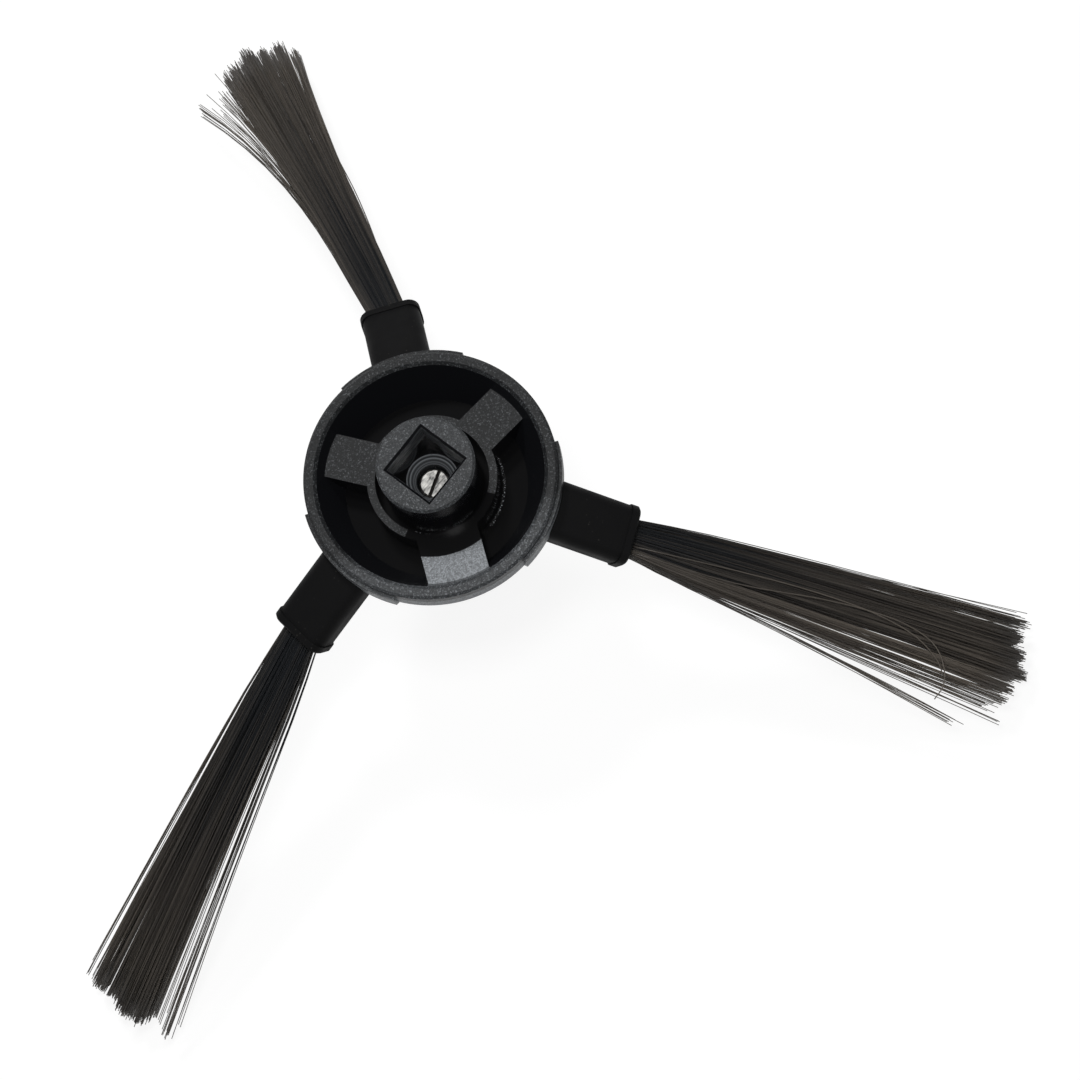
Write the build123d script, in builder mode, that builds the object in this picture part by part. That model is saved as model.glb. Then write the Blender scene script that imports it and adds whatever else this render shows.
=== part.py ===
"""Side brush of a robot vacuum cleaner: two-shell hub, three sleeves with bristle tufts, one screw.

Millimetres. The origin is the centre of the square drive socket's mouth, on the boss's top face.
+Z runs along the drive axis towards the motor; X and Y stand square to the flats of the socket.
"""
import os
from math import cos, radians, sin, tan

from build123d import *

# Layout round the axis
arm_count = 3
arm_angle = 53.5              # first arm from +X; the ribs stand half a pitch away
arm_pitch = 360 / arm_count
rib_angle = arm_angle - arm_pitch / 2

# Square drive socket and boss
socket_side = 6.45
socket_depth = 6.6
socket_chamfer = 0.3
seat_radius = 3.1             # round seat in the socket's floor
seat_depth = 0.8
screw_hole_radius = 2.05
boss_radius = 5.9
boss_edge_chamfer = 0.3

# Upper shell
hub_radius = 15.2
rim_level = -4.2
rim_width = 1.5
rim_edge_chamfer = 0.3
dish_taper = 23.0             # slope of the inner wall from the rim to the ribs
rib_level = -6.05
bowl_taper = 24.6             # slope of both shells below the ribs
cup_floor_level = -10.2
cup_floor_thickness = 1.2
split_level = -7.4            # the parting plane between the two shells
shell_step = 1.8              # the lower shell's wall, measured in the parting plane
ring_outer_radius = 7.8
ring_wall = 0.95
groove_level = -9.0           # floor of the groove between boss and ring wall
rib_width = 5.4
wide_rib_width = 7.4
wide_rib_index = 2            # the rib that faces between the second and third arm

# Lower shell
base_level = -13.8
base_edge_chamfer = 0.7
tongue_proud = 0.42           # the tongues lap the cup's wall by this much
tongue_level = -4.95
tongue_foot_level = -10.8     # the tongues run out into the bowl here
tongue_root = 0.8             # how deep they are rooted in the bowl's wall
tongue_arc = 58.0
screw_slip_radius = 1.95
counterbore_radius = 3.45
counterbore_depth = 1.5

# Fixing screw
screw_radius = 1.86
screw_end_level = -8.3
screw_end_chamfer = 0.25
screw_head_radius = 3.1
screw_head_height = 1.3
screw_head_chamfer = 0.4
cutting_slot_width = 0.42
cutting_slot_depth = 0.5
cutting_slot_angle = 18.0
recess_length = 3.3           # cross recess in the head
recess_width = 0.8
recess_depth = 0.8

# Rubber sleeves; stations run along the sleeve's own axis from the wall outwards
sleeve_root_inset = 0.4       # the sleeves' stations start this far inside the hub's wall
sleeve_root_level = -8.6
sleeve_droop = 28.0
sleeve_width = 7.2
sleeve_height = 4.5
sleeve_corner = 1.5
sleeve_end = 9.9
flange_width = 8.5
flange_height = 5.4
flange_start = -2.2
flange_end = -1.2
bead_width = 7.5
bead_height = 4.75
bead_length = 1.1
bead_chamfer = 0.25
bore_width = 4.9
bore_height = 2.4
bore_corner = 0.8
bore_start = -0.9

# Bristle tufts
tuft_block_end = 9.4          # the bonded root stops short of the sleeve's mouth
strand_width = 0.36
strand_height = 0.5
strand_columns = 11
strand_rows = 3
strand_bury = 0.9
root_spread = 4.0
root_spread_height = 1.95
tip_radius = 74.6
tip_level = -34.0
tip_fan_height = 4.2
tip_fan_widths = (11.6, 11.2, 11.6)
tip_sweeps = (7.8, 10.2, 1.0)  # the way each tuft has taken in use, in degrees round the axis
length_spread = 0.11
lane_jitter = 0.2
middle_share = 0.5
middle_bow = 0.9
mid_fan = 0.56

os.makedirs("parts", exist_ok=True)

cup_under_level = cup_floor_level - cup_floor_thickness
bowl_slope = tan(radians(bowl_taper))
plug_radius = hub_radius - shell_step
plug_foot_radius = plug_radius - bowl_slope * (split_level - cup_under_level)
dish_radius = hub_radius - rim_width - tan(radians(dish_taper)) * (rim_level - rib_level)
cup_foot_radius = dish_radius - bowl_slope * (rib_level - cup_floor_level)
base_foot_radius = hub_radius - bowl_slope * (split_level - base_level)
tongue_foot_radius = hub_radius - bowl_slope * (split_level - tongue_foot_level)
screw_seat_level = base_level + counterbore_depth
sleeve_root_radius = hub_radius - sleeve_root_inset


def upright_plane(angle):
    """The upright plane through the drive axis at an angle: x outwards, y up."""
    turn = radians(angle)
    return Plane((0, 0, 0), x_dir=(cos(turn), sin(turn), 0), z_dir=(sin(turn), -cos(turn), 0))


def arm_plane(index, station=0.0):
    """The plane across a sleeve at a station: x sideways, y up, z out along the sleeve."""
    turn = radians(arm_angle + index * arm_pitch)
    droop = radians(sleeve_droop)
    wall_plane = Plane(
        origin=(sleeve_root_radius * cos(turn), sleeve_root_radius * sin(turn), sleeve_root_level),
        x_dir=(-sin(turn), cos(turn), 0),
        z_dir=(cos(turn) * cos(droop), sin(turn) * cos(droop), -sin(droop)),
    )
    return wall_plane.offset(station)


def scatter(seed):
    """An even scatter between -1 and 1, the same in every run."""
    return 2 * ((seed * 0.6180339887) % 1.0) - 1


# Ribs and ring wall, standing in the conical room of the cup
with BuildPart() as rib_blocks:
    with BuildSketch(upright_plane(arm_angle)):
        with BuildLine():
            Polyline(
                (0, cup_floor_level),
                (cup_foot_radius, cup_floor_level),
                (dish_radius, rib_level),
                (0, rib_level),
                close=True,
            )
        make_face()
    revolve(axis=Axis.Z)
    with BuildSketch(Plane.XY.offset(cup_floor_level)):
        Circle(ring_outer_radius)
        for index in range(arm_count):
            width = wide_rib_width if index == wide_rib_index else rib_width
            with PolarLocations(0, 1, start_angle=rib_angle + index * arm_pitch):
                Rectangle(hub_radius, width, align=(Align.MIN, Align.CENTER))
    extrude(amount=rib_level - cup_floor_level, mode=Mode.INTERSECT)

# The clamped roots of the sleeves, cut out of both shells
with BuildPart() as sleeve_roots:
    for index in range(arm_count):
        with BuildSketch(arm_plane(index, flange_start)):
            Rectangle(flange_width, flange_height)
        extrude(amount=flange_end - flange_start)
        with BuildSketch(arm_plane(index, flange_end)):
            RectangleRounded(sleeve_width, sleeve_height, sleeve_corner)
        extrude(amount=sleeve_end - flange_end)

# Upper shell: the cup with boss, ring wall and ribs
with BuildPart() as hub_cup:
    with BuildSketch(upright_plane(arm_angle)):
        with BuildLine():
            Polyline(
                (0, cup_floor_level),
                (cup_foot_radius, cup_floor_level),
                (dish_radius, rib_level),
                (hub_radius - rim_width, rim_level),
                (hub_radius, rim_level),
                (hub_radius, split_level),
                (plug_radius, split_level),
                (plug_foot_radius, cup_under_level),
                (0, cup_under_level),
                close=True,
            )
        make_face()
    revolve(axis=Axis.Z)
    chamfer(hub_cup.edges().group_by(Axis.Z)[-1], rim_edge_chamfer)
    add(rib_blocks.part)
    with BuildSketch(Plane.XY.offset(groove_level)):
        Circle(ring_outer_radius - ring_wall)
    extrude(amount=rib_level - groove_level, mode=Mode.SUBTRACT)
    with BuildSketch(Plane.XY.offset(groove_level)):
        Circle(boss_radius)
    extrude(amount=-groove_level)
    chamfer(hub_cup.edges().group_by(Axis.Z)[-1], boss_edge_chamfer)
    with BuildSketch():
        Rectangle(socket_side, socket_side)
    extrude(amount=-socket_depth, mode=Mode.SUBTRACT)
    chamfer(hub_cup.faces().sort_by(Axis.Z)[-1].inner_wires()[0].edges(), socket_chamfer)
    with BuildSketch(upright_plane(0)):
        with BuildLine():
            Polyline(
                (0, -socket_depth),
                (seat_radius, -socket_depth),
                (screw_hole_radius, -socket_depth - seat_depth),
                (screw_hole_radius, cup_under_level),
                (0, cup_under_level),
                close=True,
            )
        make_face()
    revolve(axis=Axis.Z, mode=Mode.SUBTRACT)
    add(sleeve_roots.part, mode=Mode.SUBTRACT)
hub_cup.part.label = "hub_cup"
export_step(hub_cup.part, "parts/hub_cup.step")

# Lower shell: the bowl with the tongues that lap the cup
with BuildPart() as hub_base:
    with BuildSketch(upright_plane(arm_angle)):
        with BuildLine():
            Polyline(
                (0, cup_under_level),
                (plug_foot_radius, cup_under_level),
                (plug_radius, split_level),
                (hub_radius, split_level),
                (base_foot_radius, base_level),
                (0, base_level),
                close=True,
            )
        make_face()
    revolve(axis=Axis.Z)
    chamfer(hub_base.edges().group_by(Axis.Z)[0], base_edge_chamfer)
    for index in range(arm_count):
        with BuildSketch(upright_plane(arm_angle + index * arm_pitch - tongue_arc / 2)):
            with BuildLine():
                Polyline(
                    (hub_radius, tongue_level),
                    (hub_radius + tongue_proud, tongue_level),
                    (hub_radius + tongue_proud, split_level),
                    (tongue_foot_radius, tongue_foot_level),
                    (tongue_foot_radius - tongue_root, tongue_foot_level),
                    (hub_radius - tongue_root, split_level),
                    (hub_radius, split_level),
                    close=True,
                )
            make_face()
        revolve(axis=Axis.Z, revolution_arc=tongue_arc)
    with BuildSketch(Plane.XY.offset(base_level)):
        Circle(counterbore_radius)
    extrude(amount=counterbore_depth, mode=Mode.SUBTRACT)
    with BuildSketch(Plane.XY.offset(screw_seat_level)):
        Circle(screw_slip_radius)
    extrude(amount=cup_under_level - screw_seat_level, mode=Mode.SUBTRACT)
    add(sleeve_roots.part, mode=Mode.SUBTRACT)
hub_base.part.label = "hub_base"
export_step(hub_base.part, "parts/hub_base.step")

# Fixing screw: head on the floor side, end in the socket
with BuildPart() as fixing_screw:
    with BuildSketch(Plane.XY.offset(screw_seat_level - screw_head_height)):
        Circle(screw_head_radius)
    extrude(amount=screw_head_height)
    chamfer(fixing_screw.edges().group_by(Axis.Z)[0], screw_head_chamfer)
    with BuildSketch(Plane.XY.offset(screw_seat_level)):
        Circle(screw_radius)
    extrude(amount=screw_end_level - screw_seat_level)
    chamfer(fixing_screw.edges().group_by(Axis.Z)[-1], screw_end_chamfer)
    with BuildSketch(Plane.XY.offset(screw_end_level)):
        with PolarLocations(0, 1, start_angle=cutting_slot_angle):
            Rectangle(2 * screw_radius, cutting_slot_width)
    extrude(amount=-cutting_slot_depth, mode=Mode.SUBTRACT)
    with BuildSketch(Plane.XY.offset(screw_seat_level - screw_head_height)):
        with PolarLocations(0, 2, start_angle=cutting_slot_angle, angular_range=180):
            Rectangle(recess_length, recess_width)
    extrude(amount=recess_depth, mode=Mode.SUBTRACT)
fixing_screw.part.label = "fixing_screw"
export_step(fixing_screw.part, "parts/fixing_screw.step")

for index in range(arm_count):
    number = index + 1

    # Rubber sleeve: clamped flange, flat tube, bead at the mouth
    with BuildPart() as sleeve:
        with BuildSketch(arm_plane(index, flange_start)):
            Rectangle(flange_width, flange_height)
        extrude(amount=flange_end - flange_start)
        with BuildSketch(arm_plane(index, flange_end)):
            RectangleRounded(sleeve_width, sleeve_height, sleeve_corner)
        extrude(amount=sleeve_end - flange_end)
        with BuildSketch(arm_plane(index, sleeve_end - bead_length)):
            RectangleRounded(bead_width, bead_height, sleeve_corner)
        extrude(amount=bead_length)
        mouth = sleeve.faces().filter_by(arm_plane(index)).sort_by(Axis.Z)[0]
        chamfer(mouth.outer_wire().edges(), bead_chamfer)
        with BuildSketch(arm_plane(index, bore_start)):
            RectangleRounded(bore_width, bore_height, bore_corner)
        extrude(amount=sleeve_end - bore_start, mode=Mode.SUBTRACT)
    sleeve.part.label = f"sleeve_{number}"
    export_step(sleeve.part, f"parts/sleeve_{number}.step")

    # Bristle tuft: bonded root in the sleeve, locks that fan out and sweep to one side.
    # It is made upright, with its root's end at the origin and its tip above, then laid in the sleeve.
    root_plane = arm_plane(index, tuft_block_end)
    tip_turn = radians(arm_angle + index * arm_pitch + tip_sweeps[index])
    tip = Vector(tip_radius * cos(tip_turn), tip_radius * sin(tip_turn), tip_level)
    tuft_plane = Plane(root_plane.origin, root_plane.x_dir, tip - root_plane.origin)
    reach = (tip - root_plane.origin).length
    fan = tip_fan_widths[index]
    lane = lane_jitter * fan / strand_columns
    layer = lane_jitter * tip_fan_height / strand_rows
    locks = []
    with BuildPart() as tuft:
        with BuildSketch(Plane(tuft_plane.location.inverse() * arm_plane(index, bore_start).location)):
            RectangleRounded(bore_width, bore_height, bore_corner)
        extrude(amount=tuft_block_end - bore_start)
        for row in range(strand_rows):
            height = (row + 0.5) / strand_rows - 0.5
            for column in range(strand_columns):
                side = (column + 0.5) / strand_columns - 0.5
                seed = 1 + column + strand_columns * (row + strand_rows * index)
                length = reach * (1 - length_spread * (0.5 + 0.5 * scatter(7 * seed)))
                with BuildSketch(Plane.XY.offset(-strand_bury)):
                    with Locations((side * root_spread, height * root_spread_height)):
                        Rectangle(strand_width, strand_height)
                with BuildSketch(Plane.XY.offset(middle_share * reach)):
                    middle_width = root_spread + mid_fan * (fan - root_spread)
                    with Locations((side * middle_width, middle_bow + height * mid_fan * tip_fan_height)):
                        Rectangle(strand_width, strand_height)
                with BuildSketch(Plane.XY.offset(length)):
                    across = side * fan + lane * scatter(seed)
                    with Locations((across, height * tip_fan_height + layer * scatter(3 * seed))):
                        Rectangle(strand_width, strand_height)
                locks.append(loft(ruled=True, mode=Mode.PRIVATE))
        add(locks)
    laid_tuft = tuft.part.moved(tuft_plane.location)
    laid_tuft.label = f"bristle_tuft_{number}"
    export_step(laid_tuft, f"parts/bristle_tuft_{number}.step")
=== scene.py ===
"""Dresses the side brush of a robot vacuum cleaner: hub finishes, rubber sleeves, bristles and screw."""
import math
import random

import bmesh
import bpy
from bpy.props import FloatProperty, FloatVectorProperty, IntProperty, PointerProperty
from mathutils import Matrix, Vector


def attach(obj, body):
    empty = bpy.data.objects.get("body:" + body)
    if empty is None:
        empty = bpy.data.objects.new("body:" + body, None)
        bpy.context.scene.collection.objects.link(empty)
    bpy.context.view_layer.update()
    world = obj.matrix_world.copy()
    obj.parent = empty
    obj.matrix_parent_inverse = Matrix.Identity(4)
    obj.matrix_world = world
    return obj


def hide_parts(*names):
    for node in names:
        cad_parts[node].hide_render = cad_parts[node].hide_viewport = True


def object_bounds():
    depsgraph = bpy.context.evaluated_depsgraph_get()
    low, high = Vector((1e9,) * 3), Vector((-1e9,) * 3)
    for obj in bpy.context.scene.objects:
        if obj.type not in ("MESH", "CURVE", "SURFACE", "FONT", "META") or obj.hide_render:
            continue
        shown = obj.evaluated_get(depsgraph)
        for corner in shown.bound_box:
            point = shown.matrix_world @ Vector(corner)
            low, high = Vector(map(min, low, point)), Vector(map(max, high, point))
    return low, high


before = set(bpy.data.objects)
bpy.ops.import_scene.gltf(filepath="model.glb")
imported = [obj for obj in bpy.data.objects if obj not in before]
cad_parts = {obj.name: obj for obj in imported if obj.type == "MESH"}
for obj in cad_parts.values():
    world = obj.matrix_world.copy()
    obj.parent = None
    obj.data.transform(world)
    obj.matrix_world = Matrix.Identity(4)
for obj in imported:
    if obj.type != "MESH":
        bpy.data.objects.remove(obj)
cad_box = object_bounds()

bl_info = {
    "name": "Robot vacuum side brush",
    "version": (1, 0, 0),
    "blender": (4, 5, 0),
    "location": "3D View > Sidebar > Side brush",
    "description": "Finishes and bristles for the side brush of a robot vacuum cleaner",
    "category": "Object",
}

MM = 0.001

# Where the sleeves hold the tufts, in millimetres and degrees, as in the solids
ARM_ANGLES = (53.5, 173.5, 293.5)
SLEEVE_ROOT_RADIUS = 14.8
SLEEVE_ROOT_LEVEL = -8.6
SLEEVE_DROOP = 28.0
TUFT_START = 9.4
ROOT_DEPTH = 1.8
ROOT_HALF_WIDTH = 2.1
ROOT_HALF_HEIGHT = 0.95
TIP_RADIUS = 74.6
TIP_LEVEL = -34.0
TIP_SWEEPS = (7.8, 10.2, 1.0)

# The locks that each tuft has split into, as worn: share of the bristles, where their tips lie sideways,
# half the width of the lock there, how far it reaches, how late it leaves the bundle (1 at once, 3 late),
# and how brown it is drawn, as painted light: 0 for packed bristles to 1 for thin ones with light behind.
TUFT_LOCKS = (
    (
        (0.060, -5.1, 0.42, 50.9, 1.9, 0.5),
        (0.180, -3.4, 1.00, 52.7, 1.65, 0.3),
        (0.200, -1.4, 0.90, 53.6, 1.55, 0.15),
        (0.200, 0.8, 0.95, 54.9, 1.55, 0.1),
        (0.200, 2.8, 0.90, 53.4, 1.6, 0.25),
        (0.110, 4.3, 0.60, 51.6, 1.65, 0.5),
        (0.020, 6.0, 0.70, 48.5, 2.3, 0.8),
        (0.012, 7.0, 0.50, 47.0, 2.6, 0.8),
        (0.018, 9.3, 0.15, 49.3, 2.6, 0.6),
    ),
    (
        (0.020, -6.0, 0.30, 52.5, 1.1, 0.6),
        (0.140, -4.7, 0.65, 53.2, 1.2, 0.3),
        (0.250, -2.4, 1.00, 53.0, 1.15, 0.1),
        (0.280, 0.0, 1.10, 53.6, 1.15, 0.0),
        (0.255, 2.3, 1.00, 53.4, 1.15, 0.0),
        (0.020, 4.2, 0.50, 52.2, 1.2, 0.6),
        (0.035, 6.1, 0.22, 53.2, 0.9, 0.2),
    ),
    (
        (0.008, -10.2, 0.50, 46.8, 1.1, 0.7),
        (0.012, -8.8, 0.50, 52.2, 1.0, 0.7),
        (0.018, -7.5, 0.60, 49.4, 0.85, 0.9),
        (0.045, -6.2, 0.50, 51.4, 0.9, 1.0),
        (0.107, -4.5, 0.80, 52.2, 1.0, 0.95),
        (0.230, -2.3, 0.95, 53.0, 1.15, 0.35),
        (0.230, -0.4, 0.85, 52.9, 1.15, 0.15),
        (0.265, 1.7, 1.00, 52.1, 1.15, 0.2),
        (0.085, 4.0, 0.45, 52.6, 1.1, 0.3),
    ),
)

# Single bristles that have curled: tuft, then points along, sideways and above it in millimetres
CURLS = (
    (2, ((0, -1.9, 0.9), (14, -2.2, 2.2), (25, -1.2, 3.2), (32.6, -1.1, 3.7), (37, -1.7, 3.8),
         (40, -3.0, 3.7), (41.7, -5.2, 3.4), (42.2, -7.2, 3.0), (41.6, -9.0, 2.6))),
    (2, ((0, -1.2, 0.9), (18, -0.6, 2.7), (29, -0.9, 3.5), (36, -2.1, 3.8), (40, -4.0, 3.5),
         (42, -6.0, 3.0))),
    (0, ((0, -2.1, 0.3), (9, -2.45, 0.8), (16, -3.05, 1.2), (22, -3.4, 1.3), (30, -3.5, 1.2),
         (40, -4.0, 0.8), (50, -4.6, 0.2))),
    (0, ((0, -2.1, 0.1), (9, -2.35, 0.5), (15, -2.85, 0.9), (22, -3.2, 1.0), (30, -3.4, 0.9),
         (40, -3.9, 0.5), (51, -4.6, 0.0))),
)
# Curled bristles are drawn brown, as painted light through thin ones
CURL_TONE = 0.9

# How a bristle lies in its lock, in millimetres where it is a length
BRISTLE_TAPER = 0.25        # how much thinner the tip is than the root
RANK_BLUR = 0.02            # how far bristles have crossed into the next lock
PLACE_KEPT = 0.65           # how much of its place in the lock a bristle keeps out to the tip
LOCK_SPREAD = 1.45          # width of a lock's fringe against its given width
TRIM_SLOPE = 0.4            # the ends are trimmed square to the floor, the upper bristles shorter
WORN_SIDES = 1.5            # how much shorter the outer bristles of a lock have worn
STRAY_BEND = 1.3            # how far a stray bristle lies out of place at its tip
TUFT_BOW = 3.4              # upward bow of the tuft
WAVE_ASIDE = 0.09           # small waves along a bristle
WAVE_UP = 0.08

# Directions on the hub, in degrees round the axis
WIDE_RIB_ANGLE = 233.5
SHADED_ANGLE = 243.25     # middle of the painted shade on the ring wall

# Where the lamps stand, in metres
KEY_PLACE = Vector((0.1602, 0.3048, 0.4914))
TOP_PLACE = Vector((-0.01, -0.01, 0.24))
FRONT_DISTANCE = 0.6

# Camera of the photograph, in the frame of the solids
CAMERA_PLACE = Vector((-52.362, -106.712, 364.445))
CAMERA_RIGHT = Vector((0.61553, -0.78129, -0.10347))
CAMERA_UP = Vector((0.77552, 0.57707, 0.25604))
CAMERA_LENS = 109.32


def linear(text):
    """An sRGB hex colour as linear RGB."""
    channels = [int(text[i:i + 2], 16) / 255 for i in (1, 3, 5)]
    return tuple(c / 12.92 if c <= 0.04045 else ((c + 0.055) / 1.055) ** 2.4 for c in channels)


def add_node(tree, kind, inputs=None, **settings):
    """Adds a shader node; an input is a node, a socket to link from, or a plain value."""
    node = tree.nodes.new("ShaderNode" + kind)
    for name, value in settings.items():
        setattr(node, name, value)
    for key, value in (inputs or {}).items():
        if isinstance(value, bpy.types.Node):
            value = value.outputs[0]
        if isinstance(value, bpy.types.NodeSocket):
            tree.links.new(value, node.inputs[key])
        else:
            node.inputs[key].default_value = value
    return node


def new_material(name):
    """A node material with nothing in its tree."""
    material = bpy.data.materials.new(name)
    material.use_nodes = True
    material.node_tree.nodes.clear()
    return material, material.node_tree


def heading(angle):
    """A level direction, in degrees round the drive axis."""
    return (math.cos(math.radians(angle)), math.sin(math.radians(angle)), 0)


def window(tree, value, low, high, edge):
    """1 where a value lies between two others and 0 elsewhere, with soft edges."""
    rise = add_node(tree, "MapRange", {"Value": value, "From Min": low, "From Max": low + edge})
    fall = add_node(tree, "MapRange", {"Value": value, "From Min": high, "From Max": high - edge})
    return add_node(tree, "Math", {0: rise, 1: fall}, operation="MULTIPLY")


def spark_eroded_abs(colours, cored):
    # ABS moulded in a spark-eroded tool: a fine grain with painted glints, drawn lighter on one side of
    # the hub as painted light.
    # Inside the cup the walls and floor come from polished cores and look black; the floor is drawn darker
    # than the walls as painted shade.
    material, tree = new_material("cored_abs" if cored else "spark_eroded_abs")
    where = add_node(tree, "TexCoord").outputs["Object"]
    level = add_node(tree, "SeparateXYZ", {0: where}).outputs["Z"]
    flat = add_node(tree, "VectorMath", {0: where, 1: (1, 1, 0)}, operation="MULTIPLY")
    radius = add_node(tree, "VectorMath", {0: flat}, operation="LENGTH").outputs["Value"]

    # Grain of 0.13 mm: the real one is about 0.08 mm, too fine to show here
    pits = add_node(tree, "TexVoronoi", {"Vector": where, "Scale": 1 / (0.13 * MM)})
    fine = add_node(tree, "TexNoise", {
        "Vector": where, "Scale": 1 / (0.4 * MM), "Detail": 5.0, "Roughness": 0.7})
    sparkle = add_node(tree, "SeparateXYZ", {0: pits.outputs["Color"]})
    # Painted glints: the lightest cells of the grain are drawn as bright specks
    glints = add_node(tree, "Math", {0: sparkle, 1: 4.0}, operation="POWER")
    mottle = add_node(tree, "MapRange", {
        "Value": fine, "From Min": 0.3, "From Max": 0.7, "To Min": 0.2, "To Max": 0.5})
    speckle = add_node(tree, "Math", {0: glints, 1: 0.6, 2: mottle}, operation="MULTIPLY_ADD")
    sharp = add_node(tree, "Math", {0: sparkle, 1: 9.0}, operation="POWER")
    painted_sparkle = add_node(tree, "Math", {0: sharp, 1: 0.2}, operation="MULTIPLY")
    lift = add_node(tree, "Math", {0: sparkle.outputs["Y"], 1: fine}, operation="ADD")

    # How light the grain is drawn: painted light makes it lightest on the wide rib's side, most at the
    # ribs' level, and the boss is drawn lighter than the rim
    toward = add_node(tree, "VectorMath", {0: where, 1: heading(WIDE_RIB_ANGLE)}, operation="DOT_PRODUCT")
    painted_side_light = add_node(tree, "MapRange", {
        "Value": toward.outputs["Value"], "From Min": 6 * MM, "From Max": 10 * MM})
    ribs = add_node(tree, "MapRange", {
        "Value": level, "From Min": -5.8 * MM, "From Max": -5.4 * MM, "To Min": 1.6, "To Max": 0.33})
    boss = add_node(tree, "MapRange", {
        "Value": radius, "From Min": 6.2 * MM, "From Max": 6.1 * MM, "To Min": 0.06, "To Max": 0.27})
    grain_tone_and_painted_light = add_node(tree, "Math", {0: painted_side_light, 1: ribs, 2: boss}, operation="MULTIPLY_ADD")
    lightness = add_node(tree, "Math", {
        0: speckle, 1: grain_tone_and_painted_light, 2: painted_sparkle}, operation="MULTIPLY_ADD", use_clamp=True)
    colour = add_node(tree, "Mix", {
        "Factor": lightness, "A": (*colours.grain_dark, 1), "B": (*colours.grain_light_and_highlights, 1)},
        data_type="RGBA")
    rough = 0.4
    bite = 0.8

    if cored:
        # Which faces of the cup are grained: the tops, but not the chamfer round the socket, and the rim
        normal = add_node(tree, "NewGeometry").outputs["True Normal"]
        facing = add_node(tree, "SeparateXYZ", {0: normal}).outputs["Z"]
        mouth = add_node(tree, "MapRange", {
            "Value": radius, "From Min": 5.2 * MM, "From Max": 5.3 * MM, "To Min": 0.25, "To Max": 0})
        tilt = add_node(tree, "Math", {0: facing, 1: mouth}, operation="SUBTRACT")
        upward = add_node(tree, "MapRange", {"Value": tilt, "From Min": 0.5, "From Max": 0.7})
        shallow = add_node(tree, "MapRange", {
            "Value": level, "From Min": -6.6 * MM, "From Max": -6.2 * MM})
        tops = add_node(tree, "Math", {0: upward, 1: shallow}, operation="MULTIPLY")
        outer = add_node(tree, "MapRange", {
            "Value": radius, "From Min": 14.9 * MM, "From Max": 15.1 * MM})
        all_grain = add_node(tree, "Math", {0: tops, 1: outer}, operation="MAXIMUM")

        # Painted shade: where the ring wall passes the wide rib, it and the root of that rib are drawn in
        # the cup's dark core colours instead of grain
        ahead = add_node(tree, "VectorMath", {
            0: where, 1: heading(SHADED_ANGLE)}, operation="DOT_PRODUCT")
        beside = add_node(tree, "VectorMath", {
            0: where, 1: heading(SHADED_ANGLE + 90)}, operation="DOT_PRODUCT")
        turn = add_node(tree, "Math", {
            0: beside.outputs["Value"], 1: ahead.outputs["Value"]}, operation="ARCTAN2")
        aside = add_node(tree, "Math", {0: turn}, operation="ABSOLUTE")
        sector = add_node(tree, "MapRange", {"Value": aside, "From Min": 0.87, "From Max": 0.85})
        band = window(tree, radius, 6.3 * MM, 9.7 * MM, 0.1 * MM)
        painted_shade = add_node(tree, "Math", {0: sector, 1: band}, operation="MULTIPLY")
        outside_painted_shade = add_node(tree, "Math", {0: 1.0, 1: painted_shade}, operation="SUBTRACT")
        grained = add_node(tree, "Math", {0: all_grain, 1: outside_painted_shade}, operation="MULTIPLY")

        # Painted highlights: the seat in the socket's floor is drawn with light rings 0.2 mm apart
        rings = add_node(tree, "TexNoise", {
            "W": radius, "Scale": 1 / (0.2 * MM), "Detail": 3.0}, noise_dimensions="1D")
        streaks = add_node(tree, "MapRange", {
            "Value": rings, "From Min": 0.4, "From Max": 0.7, "To Min": 0.08, "To Max": 0.6})
        deep = add_node(tree, "MapRange", {
            "Value": level, "From Min": -6.5 * MM, "From Max": -6.62 * MM})
        narrow = add_node(tree, "MapRange", {
            "Value": radius, "From Min": 3.2 * MM, "From Max": 3.1 * MM})
        seat = add_node(tree, "Math", {0: deep, 1: narrow}, operation="MULTIPLY")
        seat_highlights = add_node(tree, "Math", {0: seat, 1: streaks}, operation="MULTIPLY")

        # Painted highlights: light streaks of 0.2 mm are drawn along the socket's walls, most near the
        # mouth, where the walls are also made matt as rubbed by the shaft
        drawn = add_node(tree, "VectorMath", {0: where, 1: (1, 1, 7)}, operation="MULTIPLY")
        rubs = add_node(tree, "TexNoise", {"Vector": drawn, "Scale": 1 / (1.4 * MM), "Detail": 3.0})
        lines = add_node(tree, "MapRange", {
            "Value": rubs, "From Min": 0.42, "From Max": 0.68, "To Min": 0.12, "To Max": 0.75})
        near = window(tree, level, -3.6 * MM, -0.25 * MM, 0.1 * MM)
        within = add_node(tree, "MapRange", {
            "Value": radius, "From Min": 4.8 * MM, "From Max": 4.7 * MM})
        walls = add_node(tree, "Math", {0: near, 1: within}, operation="MULTIPLY")
        wall_highlights = add_node(tree, "Math", {0: walls, 1: lines}, operation="MULTIPLY")

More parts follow.
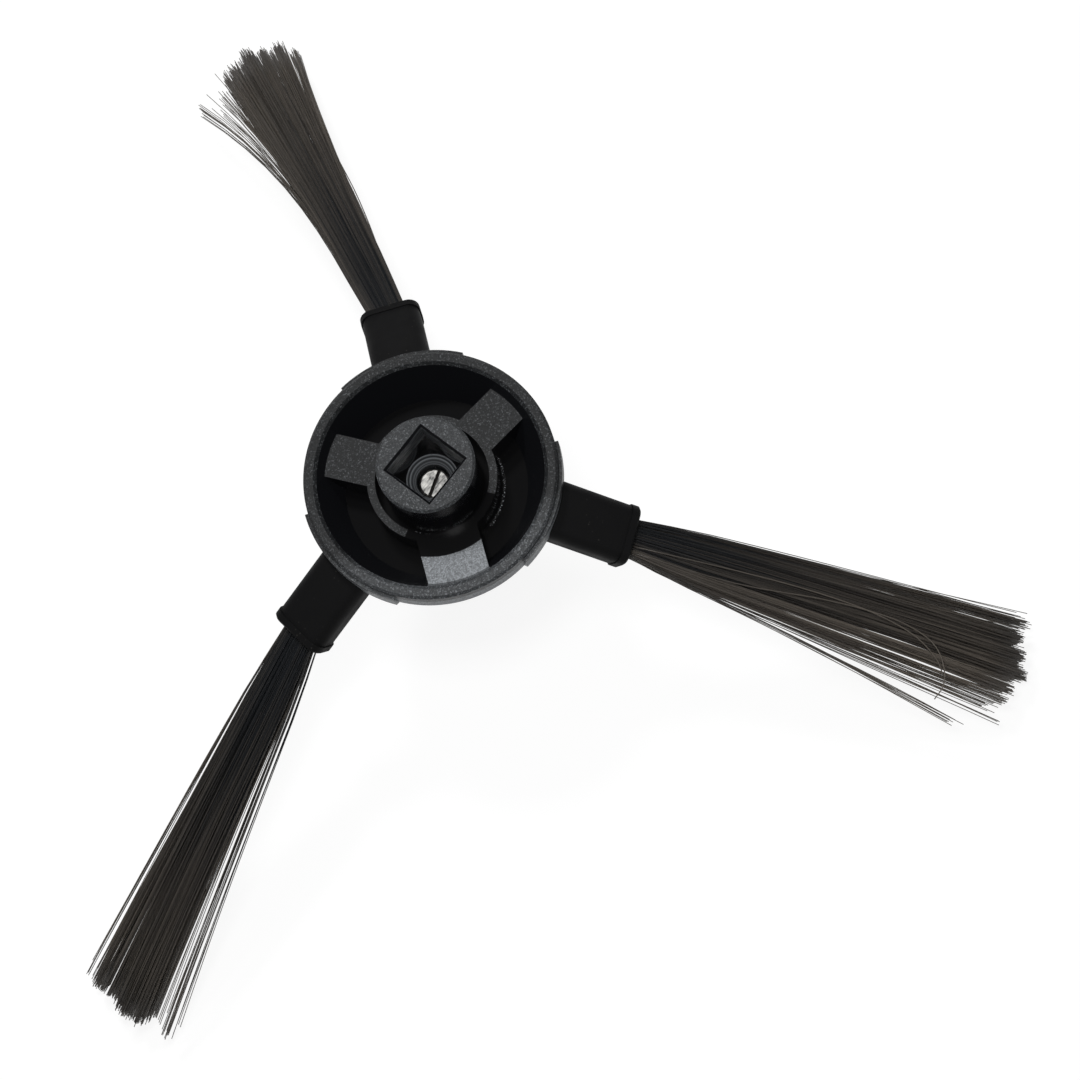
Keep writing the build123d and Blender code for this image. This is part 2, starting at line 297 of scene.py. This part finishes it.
        # The cores' edges have left the feet of the ring wall and the boss uneven; bright flecks drawn
        # there in colour are painted glints
        ring_foot = window(tree, radius, 8.0 * MM, 8.35 * MM, 0.1 * MM)
        ring_side = window(tree, turn, 0.48, 1.6, 0.05)
        boss_foot = window(tree, radius, 6.05 * MM, 6.4 * MM, 0.1 * MM)
        boss_side = window(tree, turn, -0.85, 0.5, 0.05)
        ring_edge = add_node(tree, "Math", {0: ring_foot, 1: ring_side}, operation="MULTIPLY")
        boss_edge = add_node(tree, "Math", {0: boss_foot, 1: boss_side}, operation="MULTIPLY")
        uneven = add_node(tree, "Math", {0: ring_edge, 1: boss_edge}, operation="MAXIMUM")
        painted_glints = add_node(tree, "Math", {0: uneven, 1: sharp}, operation="MULTIPLY")
        streaks_and_glints = add_node(tree, "Math", {0: wall_highlights, 1: painted_glints}, operation="MAXIMUM")
        painted_highlights = add_node(tree, "Math", {0: seat_highlights, 1: streaks_and_glints}, operation="MAXIMUM")

        # Painted shade: faces that look up are drawn in the darker floor colour, the walls in the polished
        # one
        core = add_node(tree, "Mix", {
            "Factor": facing, "A": (*colours.polished, 1), "B": (*colours.cup_floor_shade, 1)},
            data_type="RGBA")
        # Painted highlights and glints are drawn over the cores' colours in the grain's light colour
        smooth = add_node(tree, "Mix", {
            "Factor": painted_highlights, "A": core.outputs["Result"], "B": (*colours.grain_light_and_highlights, 1)},
            data_type="RGBA")
        colour = add_node(tree, "Mix", {
            "Factor": grained, "A": smooth.outputs["Result"], "B": colour.outputs["Result"]},
            data_type="RGBA")
        matt = add_node(tree, "Math", {0: grained, 1: walls}, operation="MAXIMUM")
        rough = add_node(tree, "MapRange", {"Value": matt, "To Min": 0.16, "To Max": 0.4})
        pitted = add_node(tree, "Math", {0: grained, 1: uneven}, operation="MAXIMUM")
        bite = add_node(tree, "Math", {0: pitted, 1: 0.8}, operation="MULTIPLY")

    bump = add_node(tree, "Bump", {"Strength": bite, "Distance": 0.05 * MM, "Height": lift})
    shader = add_node(tree, "BsdfPrincipled", {
        "Base Color": colour.outputs["Result"], "Roughness": rough, "Normal": bump,
        "IOR": 1.53, "Specular IOR Level": 0.14})
    add_node(tree, "OutputMaterial", {"Surface": shader})
    return material


def moulded_rubber(colours):
    # Thermoplastic rubber from a matt mould: deep black, soft broad highlights, a little clinging dust.
    material, tree = new_material("moulded_rubber")
    where = add_node(tree, "TexCoord").outputs["Object"]
    skin = add_node(tree, "TexNoise", {"Vector": where, "Scale": 1 / (0.5 * MM), "Detail": 4.0})
    cloud = add_node(tree, "TexNoise", {"Vector": where, "Scale": 1 / (3.0 * MM), "Detail": 3.0})
    specks = add_node(tree, "TexVoronoi", {"Vector": where, "Scale": 1 / (0.7 * MM)})
    speck = add_node(tree, "MapRange", {
        "Value": specks.outputs["Distance"], "From Min": 0.16, "From Max": 0.06})
    sparse = add_node(tree, "MapRange", {
        "Value": cloud, "From Min": 0.5, "From Max": 0.7, "To Max": 0.35})
    dusty = add_node(tree, "Math", {0: speck, 1: sparse}, operation="MULTIPLY")
    colour = add_node(tree, "Mix", {
        "Factor": dusty, "A": (*colours.rubber, 1), "B": (*colours.dust, 1)}, data_type="RGBA")
    rough = add_node(tree, "MapRange", {
        "Value": cloud, "From Min": 0.3, "From Max": 0.7, "To Min": 0.6, "To Max": 0.75})
    bump = add_node(tree, "Bump", {"Strength": 0.25, "Distance": 0.03 * MM, "Height": skin})
    shader = add_node(tree, "BsdfPrincipled", {
        "Base Color": colour.outputs["Result"], "Roughness": rough, "Normal": bump,
        "Specular IOR Level": 0.14})
    add_node(tree, "OutputMaterial", {"Surface": shader})
    return material


def drawn_nylon(colours):
    # Black-dyed nylon monofilament: glossy along its length, drawn bluish black where it is packed at the
    # root as painted shade, and drawn lighter brown towards the tips and in the outer locks as painted
    # light.
    material, tree = new_material("drawn_nylon")
    where = add_node(tree, "TexCoord").outputs["Object"]
    flat = add_node(tree, "VectorMath", {0: where, 1: (1, 1, 0)}, operation="MULTIPLY")
    radius = add_node(tree, "VectorMath", {0: flat}, operation="LENGTH").outputs["Value"]
    # Painted light: drawn lighter brown further from the hub and in thin locks
    along = add_node(tree, "MapRange", {
        "Value": radius, "From Min": 28 * MM, "From Max": 72 * MM, "To Max": 0.6})
    lock = add_node(tree, "Attribute", attribute_name="lock_tone").outputs["Fac"]
    painted_through_light = add_node(tree, "Math", {0: lock, 1: 0.5, 2: along}, operation="MULTIPLY_ADD")
    each = add_node(tree, "NewGeometry").outputs["Random Per Island"]
    shade = add_node(tree, "MapRange", {"Value": each, "To Min": -0.24, "To Max": 0.1})
    mixed = add_node(tree, "Math", {0: painted_through_light, 1: shade}, operation="ADD", use_clamp=True)
    colour = add_node(tree, "Mix", {
        "Factor": mixed, "A": (*colours.bristle_root, 1), "B": (*colours.bristle_tip, 1)},
        data_type="RGBA")
    shader = add_node(tree, "BsdfPrincipled", {
        "Base Color": colour.outputs["Result"], "Roughness": 0.42, "IOR": 1.53,
        "Specular IOR Level": 0.35})
    add_node(tree, "OutputMaterial", {"Surface": shader})
    return material


def scratched_steel(colours):
    # Plated steel with the end of the thread rolled over: bright, with fine scratches all one way,
    # dull patches, and drawn darker below its end, down in the slot.
    material, tree = new_material("scratched_steel")
    where = add_node(tree, "TexCoord").outputs["Object"]
    drawn = add_node(tree, "Mapping", {"Vector": where, "Rotation": (0, 0, 0.5), "Scale": (1, 5, 1)})
    scratches = add_node(tree, "TexNoise", {
        "Vector": drawn, "Scale": 1 / (0.9 * MM), "Detail": 5.0, "Roughness": 0.7})
    patches = add_node(tree, "TexNoise", {"Vector": where, "Scale": 1 / (0.8 * MM), "Detail": 3.0})
    both = add_node(tree, "Math", {0: patches, 1: scratches}, operation="ADD")
    tone = add_node(tree, "MapRange", {"Value": both, "From Min": 0.8, "From Max": 1.2})
    bright = add_node(tree, "Mix", {
        "Factor": tone, "A": (*colours.steel_dark, 1), "B": (*colours.steel, 1)}, data_type="RGBA")
    # Drawn darker below 8.6 mm down, in the slot
    level = add_node(tree, "SeparateXYZ", {0: where}).outputs["Z"]
    upper_end = add_node(tree, "MapRange", {
        "Value": level, "From Min": -8.6 * MM, "From Max": -8.4 * MM})
    colour = add_node(tree, "Mix", {
        "Factor": upper_end, "A": (*colours.low_steel, 1), "B": bright.outputs["Result"]}, data_type="RGBA")
    rough = add_node(tree, "MapRange", {
        "Value": scratches, "From Min": 0.3, "From Max": 0.7, "To Min": 0.4, "To Max": 0.6})
    bump = add_node(tree, "Bump", {"Strength": 0.5, "Distance": 0.03 * MM, "Height": scratches})
    shader = add_node(tree, "BsdfPrincipled", {
        "Base Color": colour.outputs["Result"], "Roughness": rough, "Normal": bump, "Metallic": 1.0})
    add_node(tree, "OutputMaterial", {"Surface": shader})
    return material


def white_board():
    # Smooth white card, lit evenly: the camera and reflections see it white, with a soft shadow.
    material, tree = new_material("white_board")
    rays = add_node(tree, "LightPath")
    seen = add_node(tree, "Math", {
        0: rays.outputs["Is Camera Ray"], 1: rays.outputs["Is Glossy Ray"]}, operation="MAXIMUM")
    share = add_node(tree, "Math", {0: seen, 1: 0.82}, operation="MULTIPLY")
    paper = add_node(tree, "BsdfDiffuse", {"Color": (0.86, 0.86, 0.86, 1)})
    glow = add_node(tree, "Emission", {"Color": (1, 1, 1, 1), "Strength": 1.08})
    mix = add_node(tree, "MixShader", {0: share, 1: paper, 2: glow})
    add_node(tree, "OutputMaterial", {"Surface": mix})
    return material


def finish_node(name, material):
    """Gives a solid its material."""
    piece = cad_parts[name]
    piece.data.materials.clear()
    piece.data.materials.append(material)


def tuft_axes(index):
    """Start of a tuft on its sleeve's axis, and its sideways, upward and outward directions."""
    turn = math.radians(ARM_ANGLES[index])
    droop = math.radians(SLEEVE_DROOP)
    outward = Vector((math.cos(turn), math.sin(turn), 0))
    axis = outward * math.cos(droop) + Vector((0, 0, -math.sin(droop)))
    start = outward * SLEEVE_ROOT_RADIUS + Vector((0, 0, SLEEVE_ROOT_LEVEL)) + axis * TUFT_START
    tip_turn = math.radians(ARM_ANGLES[index] + TIP_SWEEPS[index])
    tip = Vector((TIP_RADIUS * math.cos(tip_turn), TIP_RADIUS * math.sin(tip_turn), TIP_LEVEL))
    along = (tip - start).normalized()
    sideways = Vector((-math.sin(turn), math.cos(turn), 0))
    sideways = (sideways - along * sideways.dot(along)).normalized()
    return start, sideways, along.cross(sideways), along


def add_bristle(mesh, path, radius, sides, tone):
    """A thin tube along a path of points, closed at both ends, with its lock's tone on its points."""
    layer = mesh.verts.layers.float["lock_tone"]
    rings = []
    side = None
    for place, point in enumerate(path):
        ahead = path[min(place + 1, len(path) - 1)] - path[max(place - 1, 0)]
        ahead.normalize()
        side = ahead.orthogonal() if side is None else side - ahead * side.dot(ahead)
        side.normalize()
        up = ahead.cross(side)
        taper = radius * (1 - BRISTLE_TAPER * place / (len(path) - 1))
        ring = []
        for k in range(sides):
            turn = 2 * math.pi * k / sides
            vert = mesh.verts.new((point + (side * math.cos(turn) + up * math.sin(turn)) * taper) * MM)
            vert[layer] = tone
            ring.append(vert)
        rings.append(ring)
    for low, high in zip(rings, rings[1:]):
        for k in range(sides):
            mesh.faces.new((low[k], low[(k + 1) % sides], high[(k + 1) % sides], high[k]))
    mesh.faces.new(list(reversed(rings[0])))
    mesh.faces.new(rings[-1])


def bristle_path(index, sizes, dice, floor_level):
    """The points of one bristle, in millimetres, and its tone: packed at the root, in locks at the tip."""
    start, sideways, upward, along = tuft_axes(index)
    across = dice.uniform(-1, 1)
    height = dice.uniform(-1, 1)
    # The bristles leave the root in the order in which the locks lie side by side
    rank = (across + 1) / 2 + dice.gauss(0, RANK_BLUR)
    locks = TUFT_LOCKS[index]
    number = 0
    while number < len(locks) - 1 and rank > locks[number][0]:
        rank -= locks[number][0]
        number += 1
    share, lock_x, half_width, lock_length, bend, tone = locks[number]
    layer = min(2, int((height + 1) * 1.5))
    luck = random.Random(index * 1000 + number * 10 + layer)
    inner = max(-1.0, min(1.0, 2 * rank / share - 1))
    place = LOCK_SPREAD * (PLACE_KEPT * inner + (1 - PLACE_KEPT) * dice.uniform(-1, 1))
    tip_x = lock_x + half_width * (0.9 * place + luck.uniform(-0.1, 0.1))
    tip_y = height * sizes.fan_height / MM / 2 + luck.uniform(-0.4, 0.4) + dice.gauss(0, 0.2)
    length = lock_length - TRIM_SLOPE * tip_y + luck.uniform(-0.8, 0.4) - abs(dice.gauss(0, 0.5))
    length += 0.5 - WORN_SIDES * inner ** 2
    wave = dice.uniform(0, 2 * math.pi)
    stray = dice.gauss(0, STRAY_BEND) if dice.random() < sizes.stray_share else 0.0
    root_x = across * ROOT_HALF_WIDTH
    root_y = height * ROOT_HALF_HEIGHT
    path = [start - along * ROOT_DEPTH + sideways * root_x + upward * root_y]
    for step in range(sizes.segments):
        t = step / (sizes.segments - 1)
        x = root_x * (1 + 0.2 * min(1.0, 6 * t) * (1 - t))
        x += (tip_x - root_x) * t ** bend
        x += stray * t ** 2.5 + WAVE_ASIDE * math.sin(7 * t + wave) * t
        y = root_y * (1 - t) + tip_y * t + TUFT_BOW * t * (1 - t)
        y += 0.5 * stray * t ** 2.5 + WAVE_UP * math.cos(6 * t + wave) * t
        point = start + sideways * x + upward * y + along * (length * t)
        point.z = max(point.z, floor_level)
        path.append(point)
    return path, tone


def curl_path(index, points, floor_level):
    """The points of a curled bristle, smoothed through its given ones."""
    start, sideways, upward, along = tuft_axes(index)
    given = [start + along * a + sideways * x + upward * y for a, x, y in points]
    ends = [2 * given[0] - given[1], *given, 2 * given[-1] - given[-2]]
    path = []
    for before, here, there, after in zip(ends, ends[1:], ends[2:], ends[3:]):
        for t in (0, 0.25, 0.5, 0.75):
            bent = (2 * before - 5 * here + 4 * there - after) * t * t
            bent += (3 * (here - there) + after - before) * t ** 3
            path.append(here + ((there - before) * t + bent) / 2)
    path.append(given[-1])
    for point in path:
        point.z = max(point.z, floor_level)
    return path


def colour_property(name, description, text):
    """A colour that the user can change, given as sRGB hex."""
    return FloatVectorProperty(name=name, description=description, subtype="COLOR", default=linear(text))


class BristleSizes(bpy.types.PropertyGroup):
    count: IntProperty(name="Bristles", description="Bristles in each tuft", default=760, min=20)
    diameter: FloatProperty(
        name="Diameter", description="Thickness of one bristle", default=0.14 * MM,
        unit="LENGTH", precision=5)
    curl_diameter: FloatProperty(
        name="Curl diameter", description="Thickness of a curled bristle", default=0.2 * MM,
        unit="LENGTH", precision=5)
    fan_height: FloatProperty(
        name="Fan height", description="Spread of the tips up and down", default=4.0 * MM,
        unit="LENGTH", precision=4)
    stray_share: FloatProperty(
        name="Strays", description="Share of bristles bent out of the tuft", default=0.03,
        subtype="FACTOR", min=0, max=1)
    segments: IntProperty(name="Segments", description="Bends along one bristle", default=11, min=2)
    sides: IntProperty(name="Sides", description="Sides of one bristle", default=4, min=3)


class FinishColours(bpy.types.PropertyGroup):
    grain_dark: colour_property("Grain, dark", "Dark side of the eroded grain", "#0e0f10")
    # The light end of the grain, and the colour of the painted highlights and glints
    grain_light_and_highlights: colour_property("Grain, light", "Sparkle of the eroded grain", "#8f9397")
    polished: colour_property("Polished", "Smooth walls inside the cup", "#1c1d20")
    # Painted shade: the cup's floor is drawn darker than its walls
    cup_floor_shade: colour_property("Cup floor", "Smooth floor of the cup", "#060607")
    rubber: colour_property("Rubber", "Sleeve rubber", "#0a0a0b")
    dust: colour_property("Dust", "Dust on the rubber", "#5a5854")
    bristle_root: colour_property("Bristle root", "Nylon where it is packed", "#0e1115")
    bristle_tip: colour_property("Bristle tip", "Nylon at the thin ends", "#665f57")
    steel: colour_property("Steel", "Bright steel", "#d0cfcb")
    steel_dark: colour_property("Steel, scratched", "Steel in the scratches", "#565656")
    # Darker steel below the screw's end, down in the slot
    low_steel: colour_property("Grime", "Dark dirt in the screw's slot", "#1b1a19")


class StageSizes(bpy.types.PropertyGroup):
    floor: FloatProperty(name="Floor", description="Width of the floor", default=6.0, unit="LENGTH")
    key_power: FloatProperty(
        name="Key light", description="Power of the key light", default=1.45, unit="POWER")
    front_power: FloatProperty(
        name="Front light", description="Power of the light beside the camera", default=0.45,
        unit="POWER")
    top_power: FloatProperty(
        name="Top light", description="Power of the close light above", default=0.3, unit="POWER")
    top_size: FloatProperty(
        name="Top size", description="Width of the close light above", default=0.05, unit="LENGTH")
    key_size: FloatProperty(
        name="Key size", description="Width of the key light", default=0.10, unit="LENGTH")
    ambient: FloatProperty(name="Ambient", description="Strength of the room's light", default=0.14)


class BRUSH_OT_hub(bpy.types.Operator):
    """Finish both shells of the hub"""
    bl_idname = "brush.hub"
    bl_label = "Hub shells"

    def execute(self, context):
        colours = context.scene.brush_colours
        finish_node("hub_cup", spark_eroded_abs(colours, cored=True))
        finish_node("hub_base", spark_eroded_abs(colours, cored=False))
        return {"FINISHED"}


class BRUSH_OT_sleeves(bpy.types.Operator):
    """Finish the three rubber sleeves"""
    bl_idname = "brush.sleeves"
    bl_label = "Rubber sleeves"

    def execute(self, context):
        rubber = moulded_rubber(context.scene.brush_colours)
        for index in range(len(ARM_ANGLES)):
            finish_node(f"sleeve_{index + 1}", rubber)
        return {"FINISHED"}


class BRUSH_OT_screw(bpy.types.Operator):
    """Finish the fixing screw"""
    bl_idname = "brush.screw"
    bl_label = "Fixing screw"

    def execute(self, context):
        finish_node("fixing_screw", scratched_steel(context.scene.brush_colours))
        return {"FINISHED"}


class BRUSH_OT_bristles(bpy.types.Operator):
    """Grow the bristles of the three tufts"""
    bl_idname = "brush.bristles"
    bl_label = "Bristle tufts"

    def execute(self, context):
        sizes = context.scene.brush_bristles
        nylon = drawn_nylon(context.scene.brush_colours)
        floor_level = (cad_box[0][2] + sizes.diameter) / MM
        for index in range(len(ARM_ANGLES)):
            dice = random.Random(20 + index)
            mesh = bmesh.new()
            mesh.verts.layers.float.new("lock_tone")
            for _ in range(sizes.count):
                path, tone = bristle_path(index, sizes, dice, floor_level)
                add_bristle(mesh, path, sizes.diameter / MM / 2, sizes.sides, tone)
            for tuft, points in CURLS:
                if tuft == index:
                    path = curl_path(index, points, floor_level)
                    add_bristle(mesh, path, sizes.curl_diameter / MM / 2, sizes.sides, CURL_TONE)
            data = bpy.data.meshes.new(f"bristles_{index + 1}")
            mesh.to_mesh(data)
            mesh.free()
            data.polygons.foreach_set("use_smooth", [True] * len(data.polygons))
            data.materials.append(nylon)
            piece = bpy.data.objects.new(f"bristles_{index + 1}", data)
            context.scene.collection.objects.link(piece)
            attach(piece, "root")
            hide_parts(f"bristle_tuft_{index + 1}")
        return {"FINISHED"}


class BRUSH_OT_stage(bpy.types.Operator):
    """Set the floor, the light and the camera"""
    bl_idname = "brush.stage"
    bl_label = "Stage"

    def execute(self, context):
        scene = context.scene
        sizes = scene.brush_stage
        scene.view_settings.view_transform = "Standard"

        data = bpy.data.meshes.new("floor")
        half = sizes.floor / 2
        level = cad_box[0][2]
        corners = [(x, y, level) for x, y in ((-half, -half), (half, -half), (half, half), (-half, half))]
        data.from_pydata(corners, [], [(0, 1, 2, 3)])
        data.materials.append(white_board())
        floor = bpy.data.objects.new("floor", data)
        scene.collection.objects.link(floor)

        world = bpy.data.worlds.new("soft_room")
        world.use_nodes = True
        tree = world.node_tree
        tree.nodes.clear()
        rays = add_node(tree, "LightPath")
        strength = add_node(tree, "MapRange", {
            "Value": rays.outputs["Is Camera Ray"], "To Min": sizes.ambient, "To Max": 1.0})
        sky = add_node(tree, "Background", {"Color": (1, 1, 1, 1), "Strength": strength})
        add_node(tree, "OutputWorld", {"Surface": sky})
        scene.world = world

        # A far lamp behind the brush, a close one above the hub and a weak one beside the camera
        back = CAMERA_RIGHT.cross(CAMERA_UP)
        lamps = (
            ("key", sizes.key_power, sizes.key_size, KEY_PLACE),
            ("top", sizes.top_power, sizes.top_size, TOP_PLACE),
            ("front", sizes.front_power, sizes.key_size, back * FRONT_DISTANCE),
        )
        for name, power, width, place in lamps:
            data = bpy.data.lights.new(name, "AREA")
            data.energy = power
            data.size = width
            lamp = bpy.data.objects.new(name, data)
            scene.collection.objects.link(lamp)
            lamp.location = place
            lamp.rotation_euler = place.to_track_quat("Z", "Y").to_euler()

        lens = bpy.data.cameras.new("camera")
        lens.lens = CAMERA_LENS
        lens.sensor_width = 36
        lens.clip_start = 0.01
        camera = bpy.data.objects.new("camera", lens)
        scene.collection.objects.link(camera)
        turn = Matrix((CAMERA_RIGHT, CAMERA_UP, back)).transposed().to_4x4()
        camera.matrix_world = Matrix.Translation(CAMERA_PLACE * MM) @ turn
        scene.camera = camera
        return {"FINISHED"}


class BRUSH_PT_panel(bpy.types.Panel):
    """The side brush's pieces and sizes"""
    bl_idname = "BRUSH_PT_panel"
    bl_label = "Side brush"
    bl_space_type = "VIEW_3D"
    bl_region_type = "UI"
    bl_category = "Side brush"

    def draw(self, context):
        layout = self.layout
        scene = context.scene
        for group in (scene.brush_bristles, scene.brush_colours, scene.brush_stage):
            box = layout.box()
            for name in group.__annotations__:
                box.prop(group, name)
        for operator in OPERATORS:
            layout.operator(operator.bl_idname)


OPERATORS = (BRUSH_OT_hub, BRUSH_OT_sleeves, BRUSH_OT_screw, BRUSH_OT_bristles, BRUSH_OT_stage)
CLASSES = (BristleSizes, FinishColours, StageSizes, *OPERATORS, BRUSH_PT_panel)


def register():
    for item in CLASSES:
        bpy.utils.register_class(item)
    bpy.types.Scene.brush_bristles = PointerProperty(type=BristleSizes)
    bpy.types.Scene.brush_colours = PointerProperty(type=FinishColours)
    bpy.types.Scene.brush_stage = PointerProperty(type=StageSizes)


def unregister():
    del bpy.types.Scene.brush_stage
    del bpy.types.Scene.brush_colours
    del bpy.types.Scene.brush_bristles
    for item in reversed(CLASSES):
        bpy.utils.unregister_class(item)


def main():
    register()
    bpy.ops.brush.hub()
    bpy.ops.brush.sleeves()
    bpy.ops.brush.screw()
    bpy.ops.brush.bristles()
    bpy.ops.brush.stage()


if __name__ == "__main__":
    main()
